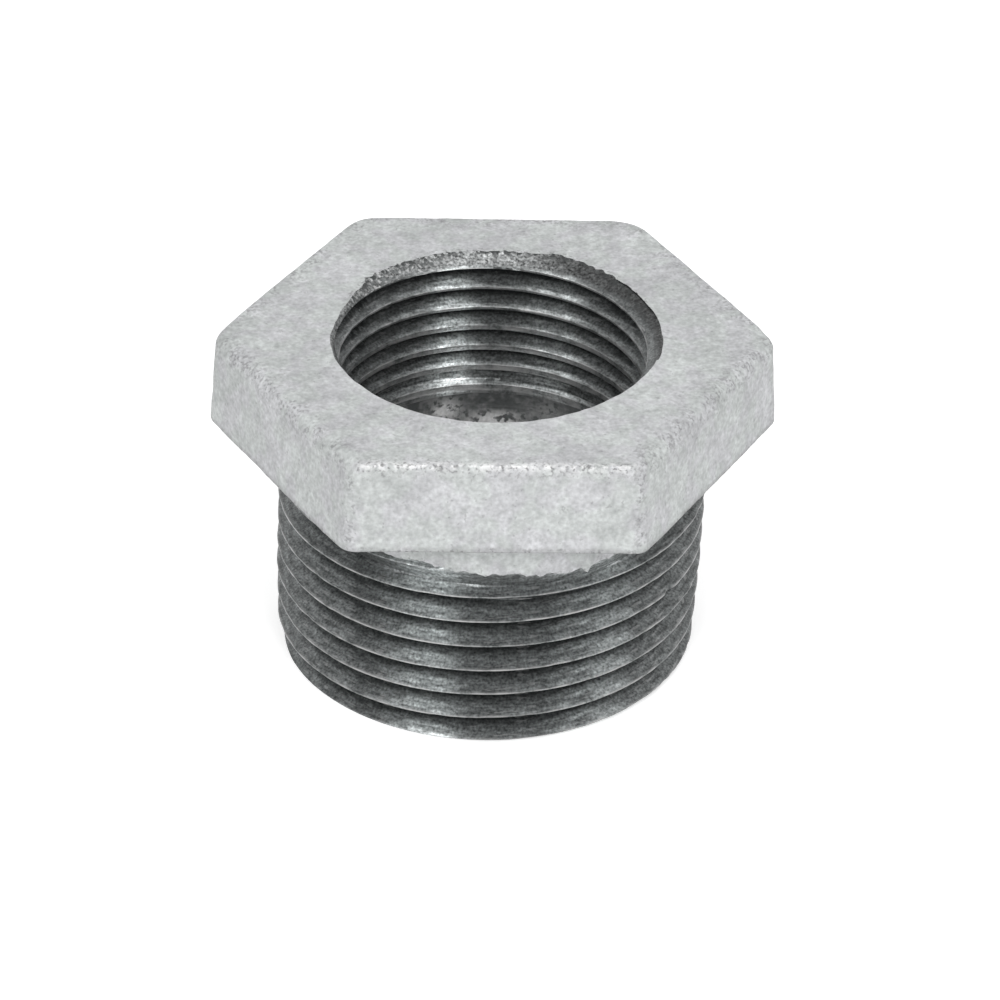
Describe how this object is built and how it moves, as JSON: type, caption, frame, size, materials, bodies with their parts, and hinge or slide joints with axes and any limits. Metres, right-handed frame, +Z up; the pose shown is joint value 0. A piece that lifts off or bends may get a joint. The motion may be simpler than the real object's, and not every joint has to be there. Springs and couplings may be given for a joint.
{
  "type": "hex bushing",
  "caption": "One-piece hexagon-head pipe bushing with a male taper thread outside and a smaller female taper thread in its bore.",
  "frame": {"origin": "centre of the small end of the male thread, which the part stands on", "axes": "+Z up along the bore towards the hexagon head, X through two opposite corners of the hexagon, Y through two opposite flats"},
  "size_m": [0.0434, 0.038, 0.0262],
  "materials": {
    "galvanised_iron": "matt hot-dip galvanised casting with bare cut threads"
  },
  "bodies": {
    "root": {"hex_bushing": "galvanised_iron"}
  },
  "joints": []
}
